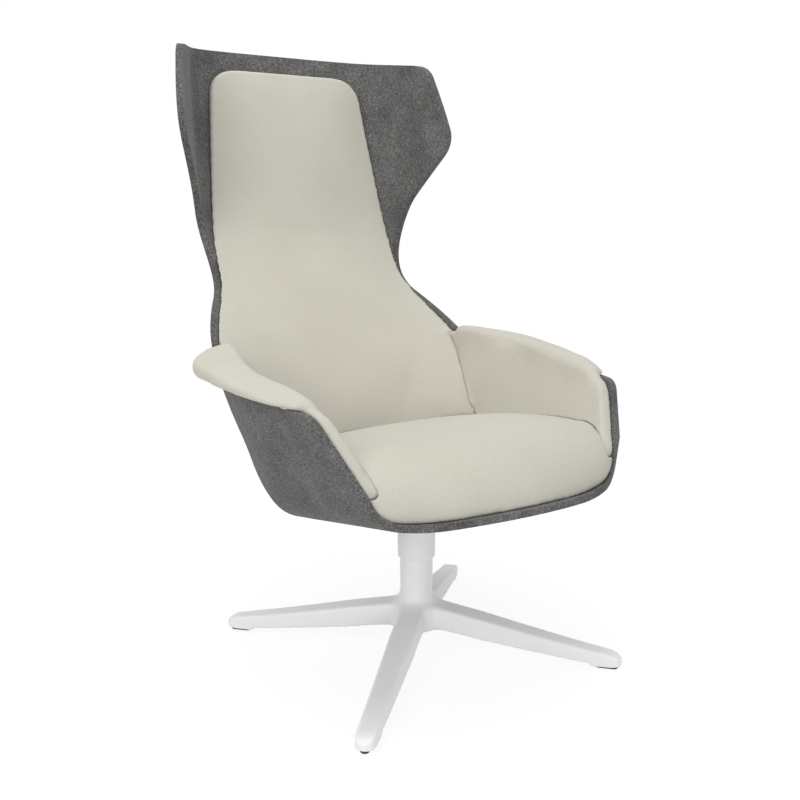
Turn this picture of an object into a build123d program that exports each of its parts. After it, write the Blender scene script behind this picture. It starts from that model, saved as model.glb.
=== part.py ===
from build123d import *
from dataclasses import astuple, dataclass
from math import atan2, cos, sin
import os

# Swivel lounge chair: a moulded felt shell with wings, upholstered pads and a four-star swivel base.
# Millimetres. Z is up, the chair faces -Y, and the origin is on the floor under the swivel axis.

# Four-star base
glide_circle_radius = 350
leg_tip_reach = 376
leg_root_half_width = 25
leg_tip_half_width = 16
leg_root_top = 101
leg_tip_top = 33
leg_root_bottom = 48
leg_arch_end = 318
leg_edge_radius = 6
leg_count = 4
leg_start_angle = 45
hub_radius = 46
hub_bottom = 46
hub_flare_bottom = 92
column_radius = 30
column_flare_top = 114
column_top = 186

# Glides under the leg tips
glide_names = ("glide_back_right", "glide_back_left", "glide_front_left", "glide_front_right")
glide_length = 40
glide_width = 15
glide_height = 6.5
glide_edge = 1.5
glide_screw_radius = 2
glide_screw_head_radius = 4
glide_screw_head_height = 2
glide_screw_recess = 1.5
glide_screw_length = 20

# Swivel bearing
spindle_radius = 14
spindle_flange_radius = 27
spindle_flange_height = 6
spindle_screw_radius = 2.5
spindle_screw_head_radius = 4.5
spindle_screw_head_height = 3
spindle_screw_length = 14
spindle_screw_count = 3
screw_end_gap = 1
spindle_screw_circle = 21
race_inner_radius = 15
race_outer_radius = 27
race_height = 2.5
ball_radius = 2.5
ball_circle_radius = 21
ball_count = 16
ball_play = 0.1
cage_height = 2
cage_play = 0.3
bush_wall = 4
bush_height = 18
bush_flange_width = 4
bush_flange_height = 2.5
bush_spacing = 12
washer_height = 2
ring_height = 1.8
ring_width = 4
ring_depth = 1
ring_opening = 8
spindle_end = 8
spindle_edge = 2
running_fit = 0.05
play = 0.3

# Swivel collar and seat plate
collar_bottom = 180
collar_bottom_radius = 34
collar_top_radius = 35.5
collar_edge = 3
collar_skirt_play = 0.6
collar_top_bore = 24
plate_width = 190
plate_depth = 170
plate_thickness = 5
plate_corner_radius = 25
bolt_radius = 4
bolt_head_radius = 7
bolt_head_height = 5
bolt_column_spacing = 140
bolt_row_spacing = 110
bolt_hole_play = 0.4
bolt_washer_radius = 9
bolt_washer_height = 1.6
t_nut_barrel_radius = 5.2
t_nut_flange_radius = 10
t_nut_flange_height = 1.6
t_nut_bore_play = 0.1

# Centre line of the shell's inner face, seen from the side as (y, z)
line_front = (-430, 379)
line_elbow = (157, 258)
line_waist = (462, 727)
line_top = (588, 1306)
elbow_radius = 115
waist_radius = 450
turn_start = 200
turn_end = 857
section_count = 36

# Rim of the shell, seen from the side as (y, z)
rim_front = (-400, 325)
rim_lip_corner = (-266, 370)
rim_arm_corner = (-181, 508)
rim_arm_root = (250, 545)
rim_waist = (488, 718)
rim_wing_tip = (326, 945)
rim_top_corner = (390.5, 1109)
rim_top_back = (640, 1136)
rim_lip_corner_radius = 25
rim_arm_corner_radius = 40
rim_arm_root_radius = 60
rim_waist_radius = 150
rim_wing_tip_radius = 60
rim_top_corner_radius = 40
lip_front = -316
lip_bow_radius = 480
felt_thickness = 12
half_span = 450

# Boards and upholstery
board_thickness = 8
board_play = 0.5
board_corner_radius = 40
seat_board_width = 300
seat_board_front = -220
seat_board_back = 70
back_board_inset = 45
arm_board_inset = 30
pad_gap = 0.5
pad_seam = 1

# Back cushion: its outline seen from the front as (x, z)
# The seam towards the arms is seen from the side as (y, z)
back_pad_depth = 25
back_pad_bottom = (214, 366)
back_pad_hip = (262, 562)
back_pad_waist = (213, 668)
back_pad_top = (166, 1086)
back_pad_corner_radius = 55
back_pad_waist_radius = 150
back_pad_hip_radius = 20
back_seam_bottom = (76, 330)
back_seam_top = (273, 560)
back_region_reach = 700

# Arm pads: the inner panel seen from the side as (y, z)
arm_pad_thickness = 22
arm_panel_bottom = (-253, 385)
arm_panel_corner = (-175, 512)
arm_panel_top = (262, 554)
arm_panel_end = (130, 385)
arm_panel_corner_radius = 40
arm_panel_foot_radius = 12
arm_lip_height = 5
arm_lip_edge = 5

# Seat cushion: its profile seen from the side as (y, z)
cushion_nose = (-303, 348)
cushion_nose_bulge = (-266, 408)
cushion_crest = (-160, 440)
cushion_slope = (10, 418)
cushion_back = (150, 366)
cushion_end = (270, 364)
cushion_bottom = 220
cushion_crown = 12
cushion_side_half_width = 225
cushion_edge_half_width = 320
cushion_edge_drop = 26
cushion_side_setback = 55
cushion_edge_setback = 118


@dataclass(frozen=True)
class Section:
    """Half of the shell's cross-section, from its middle outwards, at a reach along the centre line."""

    reach: float
    flat: float
    shoulder_radius: float
    shoulder_turn: float
    corner_radius: float
    flare: float
    side: float


# Key sections, from the front of the seat to the top of the back
key_sections = (
    Section(0, 128, 370, 11, 52, 21.6, 300),
    Section(170, 128, 370, 11, 52, 21.6, 300),
    Section(340, 128, 376, 10.5, 50, 21.6, 310),
    Section(515, 133, 400, 8, 47, 21.6, 310),
    Section(600, 132, 410, 7.3, 50, 21, 300),
    Section(690, 139, 420, 6.6, 58, 19.8, 290),
    Section(775, 130, 427, 8.5, 80, 17.7, 260),
    Section(860, 110, 433, 11, 102, 15, 220),
    Section(1030, 86, 465, 10.7, 109, 16, 180),
    Section(1200, 80, 500, 10, 92, 22.5, 180),
    Section(1375, 79, 500, 10, 90, 25.6, 190),
    Section(1550, 64, 500, 10, 90, 26, 190),
    Section(1725, 48, 500, 10, 90, 26, 190),
)


@dataclass(frozen=True)
class ArmLip:
    """Cross-section of an arm pad's folded lip at a distance y along the arm."""

    y: float
    inner: float
    base: float
    felt: float
    crest: float
    crest_height: float
    edge: float
    edge_top: float
    edge_bottom: float


@dataclass(frozen=True)
class BackCrown:
    """Front of the back cushion at a reach along the centre line: heights above the felt line."""

    reach: float
    half_width: float
    edge: float
    middle: float


# Front of the back cushion, from below the seat cushion to its top; its sides wrap forwards at the hips
back_crowns = (
    BackCrown(660, 250, 122, 38),
    BackCrown(740, 255, 100, 38),
    BackCrown(820, 265, 82, 38),
    BackCrown(900, 270, 66, 38),
    BackCrown(960, 262, 47, 37.5),
    BackCrown(1020, 245, 33, 37),
    BackCrown(1080, 232, 25, 36.5),
    BackCrown(1160, 222, 22, 36),
    BackCrown(1260, 212, 21, 35.5),
    BackCrown(1390, 198, 21, 35),
    BackCrown(1530, 184, 21, 34),
)

# Lip of the right arm pad, from its front to the root of the arm
arm_lips = (
    ArmLip(-150, 270.5, 511.2, 306, 293, 526, 311, 519, 512),
    ArmLip(-120, 274, 513.8, 315, 303, 534, 324, 522, 514.5),
    ArmLip(-90, 277, 516.4, 319, 310, 539, 338, 525, 516),
    ArmLip(-50, 281.5, 519.8, 324, 312, 541.5, 348, 530, 517),
    ArmLip(0, 287, 524.1, 331, 311, 545, 356, 535, 519),
    ArmLip(60, 288, 529.3, 333, 303, 552, 359.5, 541, 521),
    ArmLip(110, 279, 533.6, 322, 294, 558, 361.5, 546, 523),
    ArmLip(150, 268, 537, 312, 285, 563, 359, 549, 527),
    ArmLip(185, 262, 540, 306, 276, 567, 343, 553, 535),
    ArmLip(215, 255, 542.6, 299, 269, 568, 322, 556, 541),
    ArmLip(240, 249, 546, 292, 266, 566, 304, 558, 546),
)

with BuildLine(Plane.YZ) as centre_path:
    FilletPolyline(line_front, line_elbow, line_waist, line_top, radius=(elbow_radius, waist_radius))
centre_line = centre_path.wire()


def section_at(reach):
    """Section at a distance along the centre line, blended smoothly from the four key sections around it."""
    last = len(key_sections) - 1
    before = max(number for number in range(last) if number == 0 or key_sections[number].reach <= reach)
    near = [key_sections[min(max(before + step, 0), last)] for step in (-1, 0, 1, 2)]
    ahead, span = near[2].reach - near[0].reach, near[2].reach - near[1].reach
    beyond = near[3].reach - near[1].reach
    t = (reach - near[1].reach) / span
    values = []
    for a, b, c, d in zip(*(astuple(section) for section in near)):
        start_slope = (c - a) / ahead * span
        end_slope = (d - b) / beyond * span
        square = 3 * (c - b) - 2 * start_slope - end_slope
        cubic = 2 * (b - c) + start_slope + end_slope
        values.append(b + start_slope * t + square * t**2 + cubic * t**3)
    return Section(*values)


def section_plane(reach):
    """Plane of the section at a distance along the centre line; it fans from upright to square."""
    place = centre_line.position_at(reach, position_mode=PositionMode.LENGTH)
    heading = centre_line.tangent_at(reach, position_mode=PositionMode.LENGTH)
    if reach < turn_end:
        back = centre_line.tangent_at(turn_end, position_mode=PositionMode.LENGTH)
        share = max(reach - turn_start, 0) / (turn_end - turn_start)
        lean = share**2 * atan2(back.Z, back.Y)
        upwards = Vector(0, -sin(lean), cos(lean))
    else:
        upwards = Vector(0, -heading.Z, heading.Y)
    return Plane(origin=place, x_dir=(1, 0, 0), z_dir=Vector(1, 0, 0).cross(upwards))


def section_half(section, grow):
    """Draw half of a section, moved outwards by grow; returns its straight side."""
    floor = Line((0, -grow), (section.flat, -grow))
    shoulder = JernArc(floor @ 1, floor % 1, section.shoulder_radius + grow, section.shoulder_turn)
    corner_turn = 90 - section.flare - section.shoulder_turn
    corner = JernArc(shoulder @ 1, shoulder % 1, section.corner_radius + grow, corner_turn)
    return Line(corner @ 1, corner @ 1 + (corner % 1) * section.side)


def shell_layer(inner, outer):
    """Layer of the shell's form between two distances outwards from its inner face."""
    with BuildPart() as layer:
        for number in range(section_count):
            section = section_at(centre_line.length * number / (section_count - 1))
            with BuildSketch(section_plane(section.reach)):
                with BuildLine():
                    inner_side = section_half(section, inner)
                    outer_side = section_half(section, outer)
                    Line(inner_side @ 1, outer_side @ 1)
                    mirror(about=Plane.YZ)
                make_face()
        loft()
    return layer.part


def shell_fill(grow):
    """Solid that fills the shell's form up to a distance outwards from its inner face."""
    with BuildPart() as fill:
        for number in range(section_count):
            section = section_at(centre_line.length * number / (section_count - 1))
            with BuildSketch(section_plane(section.reach)):
                with BuildLine():
                    side = section_half(section, grow)
                    Line(side @ 1, (0, (side @ 1).Y))
                    mirror(about=Plane.YZ)
                make_face()
        loft()
    return fill.part


# Plane of the seat plate's top, against the underside of the shell's sloping pan
pan_slope = atan2(line_front[1] - line_elbow[1], line_elbow[0] - line_front[0])
pan_middle = line_front[1] + line_front[0] * sin(pan_slope) / cos(pan_slope)
pan_plane = Plane(origin=(0, 0, pan_middle), x_dir=(1, 0, 0), z_dir=(0, sin(pan_slope), cos(pan_slope)))
plate_plane = pan_plane.offset(-felt_thickness)
bolt_grid = GridLocations(bolt_column_spacing, bolt_row_spacing, 2, 2)

upright = (Align.CENTER, Align.CENTER, Align.MIN)

# Levels of the swivel bearing
lower_race_top = column_top + race_height
upper_race_bottom = lower_race_top + 2 * ball_radius + ball_play
bearing_top = upper_race_bottom + race_height
lower_bush_bottom = bearing_top + play
upper_bush_bottom = lower_bush_bottom + bush_height + bush_spacing
upper_bush_shoulder = upper_bush_bottom + bush_height
upper_bush_top = upper_bush_shoulder + bush_flange_height
washer_bottom = upper_bush_top + play
ring_bottom = washer_bottom + washer_height
spindle_top = ring_bottom + ring_height + spindle_end
spindle_bottom = hub_bottom
spindle_flange_top = spindle_bottom + spindle_flange_height
bush_bore_radius = spindle_radius + running_fit
bush_outer_radius = bush_bore_radius + bush_wall
bush_flange_radius = bush_outer_radius + bush_flange_width

# One leg along +X: its side view crossed with its tapering plan
with BuildPart() as leg:
    with BuildSketch(Plane.XZ.offset(-leg_root_half_width)):
        with BuildLine():
            Polyline(
                (0, leg_root_bottom),
                (hub_radius, leg_root_bottom),
                (leg_arch_end, glide_height + leg_edge_radius),
                (leg_arch_end + leg_edge_radius, glide_height),
                (leg_tip_reach, glide_height),
                (leg_tip_reach, leg_tip_top),
                (0, leg_root_top),
                close=True,
            )
        make_face()
    extrude(amount=2 * leg_root_half_width)
    with BuildSketch():
        Circle(leg_root_half_width)
        with Locations((leg_tip_reach - leg_tip_half_width, 0)):
            Circle(leg_tip_half_width)
        make_hull()
    extrude(amount=leg_root_top, mode=Mode.INTERSECT)
    leg_top = leg.faces().filter_by(lambda face: face.normal_at().Z > 0.9)
    fillet(leg_top.edges().filter_by(Axis.Y, reverse=True), radius=leg_edge_radius)

with BuildPart() as star_base:
    with PolarLocations(0, leg_count, start_angle=leg_start_angle):
        add(leg.part)
    with BuildSketch(Plane.XZ):
        with BuildLine():
            Polyline((0, hub_bottom), (hub_radius, hub_bottom), (hub_radius, hub_flare_bottom))
            flare_width = hub_radius - column_radius
            flare_height = column_flare_top - hub_flare_bottom
            flare_middle = (column_radius + 0.29 * flare_width, hub_flare_bottom + 0.29 * flare_height)
            ThreePointArc((hub_radius, hub_flare_bottom), flare_middle, (column_radius, column_flare_top))
            Polyline(
                (column_radius, column_flare_top), (column_radius, column_top),
                (0, column_top), (0, hub_bottom),
            )
        make_face()
    revolve(axis=Axis.Z)
    Cylinder(spindle_radius + running_fit, column_top, align=upright, mode=Mode.SUBTRACT)
    with Locations((0, 0, hub_bottom)):
        Cylinder(spindle_flange_radius + play, spindle_flange_height, align=upright, mode=Mode.SUBTRACT)
    with Locations((0, 0, spindle_flange_top)):
        with PolarLocations(spindle_screw_circle, spindle_screw_count):
            Cylinder(
                spindle_screw_radius + running_fit, spindle_screw_length, align=upright, mode=Mode.SUBTRACT,
            )
    with PolarLocations(glide_circle_radius, leg_count, start_angle=leg_start_angle):
        Cylinder(glide_screw_radius + running_fit, glide_screw_length, align=upright, mode=Mode.SUBTRACT)
star_base.part.label = "star_base"

# A glide under each leg tip, held by a countersunk screw
glides = []
for number, name in enumerate(glide_names):
    angle = leg_start_angle + number * 360 / leg_count
    with BuildPart() as glide:
        with BuildSketch(Plane.XY.rotated((0, 0, angle))):
            with Locations((glide_circle_radius, 0)):
                SlotOverall(glide_length, glide_width)
        extrude(amount=glide_height)
        chamfer(glide.faces().sort_by(Axis.Z)[0].edges(), length=glide_edge)
        with PolarLocations(glide_circle_radius, 1, start_angle=angle):
            Cylinder(glide_screw_radius + play, glide_height, align=upright, mode=Mode.SUBTRACT)
            Cylinder(glide_screw_head_radius + play, glide_screw_recess + glide_screw_head_height,
                     align=upright, mode=Mode.SUBTRACT)
    glide.part.label = name
    glides.append(glide.part)

with BuildPart() as glide_screws:
    with PolarLocations(glide_circle_radius, leg_count, start_angle=leg_start_angle):
        with Locations((0, 0, glide_screw_recess)):
            Cylinder(glide_screw_head_radius, glide_screw_head_height, align=upright)
            Cylinder(glide_screw_radius, glide_screw_length - glide_screw_recess, align=upright)
glide_screws.part.label = "glide_screws"

# Fixed spindle, flanged below and grooved near its top for the retaining ring
with BuildPart() as spindle:
    with Locations((0, 0, spindle_bottom)):
        Cylinder(spindle_radius, spindle_top - spindle_bottom, align=upright)
        Cylinder(spindle_flange_radius, spindle_flange_height, align=upright)
    chamfer(spindle.faces().sort_by(Axis.Z)[-1].edges(), length=spindle_edge)
    with BuildSketch(Plane.XY.offset(ring_bottom)):
        Circle(spindle_radius)
        Circle(spindle_radius - ring_depth, mode=Mode.SUBTRACT)
    extrude(amount=ring_height, mode=Mode.SUBTRACT)
    with Locations((0, 0, spindle_bottom)):
        with PolarLocations(spindle_screw_circle, spindle_screw_count):
            Cylinder(spindle_screw_radius + play, spindle_flange_height, align=upright, mode=Mode.SUBTRACT)
spindle.part.label = "spindle"

with BuildPart() as spindle_screws:
    with Locations((0, 0, spindle_bottom)):
        with PolarLocations(spindle_screw_circle, spindle_screw_count):
            Cylinder(
                spindle_screw_radius, spindle_flange_height + spindle_screw_length - screw_end_gap,
                align=upright,
            )
            Cylinder(
                spindle_screw_head_radius, spindle_screw_head_height,
                align=(Align.CENTER, Align.CENTER, Align.MAX),
            )
spindle_screws.part.label = "spindle_screws"


def ring_part(name, bottom, height, inner_radius, outer_radius):
    """Plain ring about the swivel axis."""
    with BuildPart() as ring:
        with BuildSketch(Plane.XY.offset(bottom)):
            Circle(outer_radius)
            Circle(inner_radius, mode=Mode.SUBTRACT)
        extrude(amount=height)
    ring.part.label = name
    return ring.part


lower_race = ring_part("lower_race", column_top, race_height, race_inner_radius, race_outer_radius)
upper_race = ring_part("upper_race", upper_race_bottom, race_height, race_inner_radius, race_outer_radius)
lower_bush = ring_part("lower_bush", lower_bush_bottom, bush_height, bush_bore_radius, bush_outer_radius)
retaining_washer = ring_part(
    "retaining_washer", washer_bottom, washer_height, spindle_radius + running_fit, bush_flange_radius
)

ball_level = lower_race_top + ball_radius
with BuildPart() as bearing_balls:
    with Locations((0, 0, ball_level)):
        with PolarLocations(ball_circle_radius, ball_count):
            Sphere(ball_radius)
bearing_balls.part.label = "bearing_balls"

with BuildPart() as ball_cage:
    with BuildSketch(Plane.XY.offset(ball_level - cage_height / 2)):
        Circle(race_outer_radius - play)
        Circle(race_inner_radius + play, mode=Mode.SUBTRACT)
        with PolarLocations(ball_circle_radius, ball_count):
            Circle(ball_radius + cage_play, mode=Mode.SUBTRACT)
    extrude(amount=cage_height)
ball_cage.part.label = "ball_cage"

with BuildPart() as upper_bush:
    with BuildSketch(Plane.XY.offset(upper_bush_bottom)):
        Circle(bush_outer_radius)
        Circle(bush_bore_radius, mode=Mode.SUBTRACT)
    extrude(amount=bush_height)
    with BuildSketch(Plane.XY.offset(upper_bush_shoulder)):
        Circle(bush_flange_radius)
        Circle(bush_bore_radius, mode=Mode.SUBTRACT)
    extrude(amount=bush_flange_height)
upper_bush.part.label = "upper_bush"

# Open spring ring in the spindle's groove
with BuildPart() as retaining_ring:
    with BuildSketch(Plane.XY.offset(ring_bottom)):
        Circle(spindle_radius - ring_depth + ring_width)
        Circle(spindle_radius - ring_depth, mode=Mode.SUBTRACT)
        Rectangle(ring_opening, 2 * spindle_radius, align=(Align.CENTER, Align.MIN), mode=Mode.SUBTRACT)
    extrude(amount=ring_height)
retaining_ring.part.label = "retaining_ring"

# Swivel collar, bored for the bearing and bushes and cut to the slope of the seat plate
with BuildPart() as swivel_collar:
    with BuildSketch(Plane.XZ):
        with BuildLine():
            Polyline(
                (column_radius + collar_skirt_play, collar_bottom),
                (collar_bottom_radius - collar_edge, collar_bottom),
                (collar_bottom_radius, collar_bottom + collar_edge),
                (collar_top_radius, pan_middle),
                (collar_top_bore, pan_middle),
                (collar_top_bore, upper_bush_shoulder),
                (bush_outer_radius, upper_bush_shoulder),
                (bush_outer_radius, bearing_top),
                (column_radius + collar_skirt_play, bearing_top),
                close=True,
            )
        make_face()
    revolve(axis=Axis.Z)
    split(bisect_by=plate_plane.offset(-plate_thickness), keep=Keep.BOTTOM)
swivel_collar.part.label = "swivel_collar"

with BuildPart() as seat_plate:
    with BuildSketch(plate_plane.offset(-plate_thickness)):
        RectangleRounded(plate_width, plate_depth, plate_corner_radius)
        Circle(collar_top_bore, mode=Mode.SUBTRACT)
        with bolt_grid:
            Circle(bolt_radius + bolt_hole_play, mode=Mode.SUBTRACT)
    extrude(amount=plate_thickness)
seat_plate.part.label = "seat_plate"

with BuildPart() as bolt_washers:
    with BuildSketch(plate_plane.offset(-plate_thickness - bolt_washer_height)):
        with bolt_grid:
            Circle(bolt_washer_radius)
            Circle(bolt_radius + bolt_hole_play, mode=Mode.SUBTRACT)
    extrude(amount=bolt_washer_height)
bolt_washers.part.label = "bolt_washers"

# Stack that each bolt clamps: washer, plate, felt and seat board
bolt_seat = plate_plane.offset(-plate_thickness - bolt_washer_height)
board_plane = pan_plane.offset(pad_gap)
bolt_reach = bolt_washer_height + plate_thickness + felt_thickness + pad_gap + board_thickness
with BuildPart() as plate_bolts:
    with BuildSketch(bolt_seat):
        with bolt_grid:
            Circle(bolt_radius)
    extrude(amount=bolt_reach)
    with BuildSketch(bolt_seat):
        with bolt_grid:
            RegularPolygon(bolt_head_radius, 6)
    extrude(amount=-bolt_head_height)
plate_bolts.part.label = "plate_bolts"

with BuildPart() as t_nuts:
    with BuildSketch(board_plane.offset(board_thickness)):
        with bolt_grid:
            Circle(t_nut_flange_radius)
            Circle(bolt_radius + t_nut_bore_play, mode=Mode.SUBTRACT)
    extrude(amount=t_nut_flange_height)
    with BuildSketch(board_plane):
        with bolt_grid:
            Circle(t_nut_barrel_radius)
            Circle(bolt_radius + t_nut_bore_play, mode=Mode.SUBTRACT)
    extrude(amount=board_thickness)
t_nuts.part.label = "t_nuts"

# Moulded felt shell: the layer trimmed by one side-view rim and a bowed front lip, with holes for the bolts
with BuildPart() as felt_shell:
    add(shell_layer(0, felt_thickness))
    with BuildSketch(Plane.YZ.offset(-half_span)):
        with BuildLine():
            rim = FilletPolyline(
                rim_front, rim_lip_corner, rim_arm_corner, rim_arm_root, rim_waist,
                rim_wing_tip, rim_top_corner, rim_top_back,
                radius=(rim_lip_corner_radius, rim_arm_corner_radius, rim_arm_root_radius, rim_waist_radius,
                        rim_wing_tip_radius, rim_top_corner_radius),
            )
            Polyline(rim @ 1, (rim_top_back[0], 0), (rim_front[0], 0), rim @ 0)
        make_face()
    extrude(amount=2 * half_span, mode=Mode.INTERSECT)
    with BuildSketch():
        with Locations((0, lip_front + lip_bow_radius)):
            Circle(lip_bow_radius)
            Rectangle(2 * half_span, 2 * half_span, align=(Align.CENTER, Align.MIN))
    extrude(amount=line_top[1], mode=Mode.INTERSECT)
    with BuildSketch(plate_plane.offset(-plate_thickness)):
        with bolt_grid:
            Circle(bolt_radius + bolt_hole_play)
    extrude(amount=plate_thickness + 2 * felt_thickness, mode=Mode.SUBTRACT)
felt_shell.part.label = "felt_shell"


def back_region(grow):
    """Space of the back cushion behind its seams, grown by a distance."""
    with BuildPart() as region:
        with BuildSketch(Plane.XZ.offset(-back_region_reach)):
            with BuildLine():
                FilletPolyline(
                    (0, back_pad_bottom[1]), back_pad_bottom, back_pad_hip, back_pad_waist, back_pad_top,
                    (0, back_pad_top[1]),
                    radius=(back_pad_corner_radius, back_pad_hip_radius, back_pad_waist_radius,
                            back_pad_corner_radius),
                )
                mirror(about=Plane.YZ)
            make_face()
            offset(amount=grow)
        extrude(amount=back_region_reach)
        with BuildSketch(Plane.YZ.offset(-half_span)):
            with BuildLine():
                Polyline(
                    back_seam_bottom, back_seam_top, (back_seam_top[0], line_top[1]),
                    (back_region_reach, line_top[1]), (back_region_reach, back_seam_bottom[1]), close=True,
                )
            make_face()
            offset(amount=grow)
        extrude(amount=2 * half_span, mode=Mode.INTERSECT)
    return region.part


def arm_region(grow):
    """Space of the right arm pad's inner panel, grown by a distance."""
    with BuildPart() as region:
        with BuildSketch(Plane.YZ):
            with BuildLine():
                panel = FilletPolyline(
                    arm_panel_end, arm_panel_bottom, arm_panel_corner, arm_panel_top,
                    radius=(arm_panel_foot_radius, arm_panel_corner_radius),
                )
                Line(panel @ 1, panel @ 0)
            make_face()
            offset(amount=grow)
        extrude(amount=half_span)
    return region.part


def seat_board_outline(grow):
    """Plan prism of the seat board, grown by a distance."""
    with BuildPart() as outline:
        with BuildSketch():
            with Locations((0, (seat_board_front + seat_board_back) / 2)):
                RectangleRounded(seat_board_width, seat_board_back - seat_board_front, board_corner_radius)
            offset(amount=grow)
        extrude(amount=cushion_crest[1])
    return outline.part


# Layers of the shell's form for the boards and for the recesses that hold them
board_layer = shell_layer(-pad_gap - board_thickness, -pad_gap)
recess_layer = shell_layer(-pad_gap - board_thickness - board_play, 0)
arm_layer = shell_layer(-arm_pad_thickness, -pad_gap)
pad_space = shell_fill(-pad_gap)
right_arm_region = arm_region(0)
back_cut = back_region(pad_seam)

# Moulded boards that carry the upholstery, bedded on the felt
with BuildPart() as seat_board:
    add(board_layer)
    add(seat_board_outline(0), mode=Mode.INTERSECT)
    with BuildSketch(pan_plane):
        with bolt_grid:
            Circle(t_nut_barrel_radius + play)
    extrude(amount=2 * board_thickness, mode=Mode.SUBTRACT)
seat_board.part.label = "seat_board"

with BuildPart() as back_board:
    add(board_layer)
    add(back_region(-back_board_inset), mode=Mode.INTERSECT)
back_board.part.label = "back_board"

with BuildPart() as arm_board_right:
    add(board_layer)
    add(arm_region(-arm_board_inset), mode=Mode.INTERSECT)
    add(back_region(arm_board_inset), mode=Mode.SUBTRACT)
arm_board_right.part.label = "arm_board_right"

with BuildPart() as arm_board_left:
    add(arm_board_right.part.mirror(Plane.YZ))
arm_board_left.part.label = "arm_board_left"

# Back cushion, crowned in front and recessed behind for its board
with BuildPart() as back_recess:
    add(recess_layer)
    add(back_region(board_play - back_board_inset), mode=Mode.INTERSECT)

with BuildPart() as back_front:
    for crown in back_crowns:
        with BuildSketch(section_plane(crown.reach)):
            with BuildLine():
                left, right = (-crown.half_width, crown.edge), (crown.half_width, crown.edge)
                ThreePointArc(left, (0, crown.middle), right)
                Polyline(
                    right, (crown.half_width, -back_pad_depth), (-crown.half_width, -back_pad_depth), left,
                )
            make_face()
    loft()

with BuildPart() as back_cushion:
    add(back_front.part)
    add(pad_space, mode=Mode.INTERSECT)
    add(back_region(0), mode=Mode.INTERSECT)
    add(back_recess.part, mode=Mode.SUBTRACT)
back_cushion.part.label = "back_cushion"

# Arm pads: an inner panel on the felt with a lip folded outwards over the rim
with BuildPart() as arm_recess:
    add(recess_layer)
    add(arm_region(board_play - arm_board_inset), mode=Mode.INTERSECT)
    add(back_region(arm_board_inset - board_play), mode=Mode.SUBTRACT)

with BuildPart() as arm_lip:
    for lip in arm_lips:
        with BuildSketch(Plane.XZ.offset(-lip.y)):
            with BuildLine():
                inner_top = (lip.inner, lip.base + arm_lip_height)
                crest = (lip.crest, lip.crest_height)
                rise = (0.7 * lip.inner + 0.3 * lip.crest, 0.25 * inner_top[1] + 0.75 * lip.crest_height)
                edge_top = (lip.edge - arm_lip_edge, lip.edge_top)
                edge_bottom = (lip.edge - arm_lip_edge, lip.edge_bottom)
                Polyline(edge_bottom, (lip.felt, lip.base), (lip.inner, lip.base), inner_top)
                ThreePointArc(inner_top, rise, crest)
                Line(crest, edge_top)
                ThreePointArc(edge_top, (lip.edge, (lip.edge_top + lip.edge_bottom) / 2), edge_bottom)
            make_face()
    loft()

with BuildPart() as arm_pad_right:
    add(arm_layer)
    add(right_arm_region, mode=Mode.INTERSECT)
    add(arm_recess.part, mode=Mode.SUBTRACT)
    add(arm_lip.part)
    add(back_cut, mode=Mode.SUBTRACT)
arm_pad_right.part.label = "arm_pad_right"

with BuildPart() as arm_pad_left:
    add(arm_pad_right.part.mirror(Plane.YZ))
arm_pad_left.part.label = "arm_pad_left"

# Crowned seat cushion, cut round the pads that it meets and recessed below for its board
with BuildPart() as cushion_form:
    for half_width, lift, setback in (
        (-cushion_edge_half_width, -cushion_edge_drop, cushion_edge_setback),
        (-cushion_side_half_width, 0, cushion_side_setback),
        (0, cushion_crown, 0),
        (cushion_side_half_width, 0, cushion_side_setback),
        (cushion_edge_half_width, -cushion_edge_drop, cushion_edge_setback),
    ):
        with BuildSketch(Plane.YZ.offset(half_width)):
            with BuildLine():
                crest = (cushion_crest[0], cushion_crest[1] + lift)
                nose = (cushion_nose[0] + setback, cushion_nose[1])
                bulge = (cushion_nose_bulge[0] + setback / 2, cushion_nose_bulge[1] + lift / 2)
                ThreePointArc(nose, bulge, crest)
                ThreePointArc(crest, (cushion_slope[0], cushion_slope[1] + lift), cushion_back)
                Polyline(
                    cushion_back, cushion_end, (cushion_end[0], cushion_bottom), (nose[0], cushion_bottom),
                    nose,
                )
            make_face()
    loft()

with BuildPart() as arm_cut:
    add(shell_layer(-arm_pad_thickness - pad_seam, 0))
    add(arm_region(pad_seam), mode=Mode.INTERSECT)

with BuildPart() as seat_recess:
    add(recess_layer)
    add(seat_board_outline(board_play), mode=Mode.INTERSECT)

with BuildPart() as seat_cushion:
    add(cushion_form.part)
    add(pad_space, mode=Mode.INTERSECT)
    add(back_cut, mode=Mode.SUBTRACT)
    add(arm_cut.part, mode=Mode.SUBTRACT)
    add(arm_cut.part.mirror(Plane.YZ), mode=Mode.SUBTRACT)
    add(seat_recess.part, mode=Mode.SUBTRACT)
    with BuildSketch(pan_plane):
        with bolt_grid:
            Circle(t_nut_flange_radius + play)
    extrude(amount=pad_gap + board_thickness + t_nut_flange_height + play, mode=Mode.SUBTRACT)
seat_cushion.part.label = "seat_cushion"

os.makedirs("parts", exist_ok=True)
pieces = [
    star_base.part, *glides, glide_screws.part, spindle.part, spindle_screws.part, lower_race,
    bearing_balls.part, ball_cage.part, upper_race, lower_bush, upper_bush.part, retaining_washer,
    retaining_ring.part,
    swivel_collar.part, seat_plate.part, bolt_washers.part, plate_bolts.part, t_nuts.part, felt_shell.part,
    seat_board.part, back_board.part, arm_board_left.part, arm_board_right.part, seat_cushion.part,
    back_cushion.part, arm_pad_left.part, arm_pad_right.part,
]
for piece in pieces:
    export_step(piece, f"parts/{piece.label}.step")
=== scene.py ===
"""Dressed model of a winged swivel lounge chair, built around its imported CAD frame."""

import logging
import math
from dataclasses import dataclass, field
from enum import Enum
from typing import Any

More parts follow.
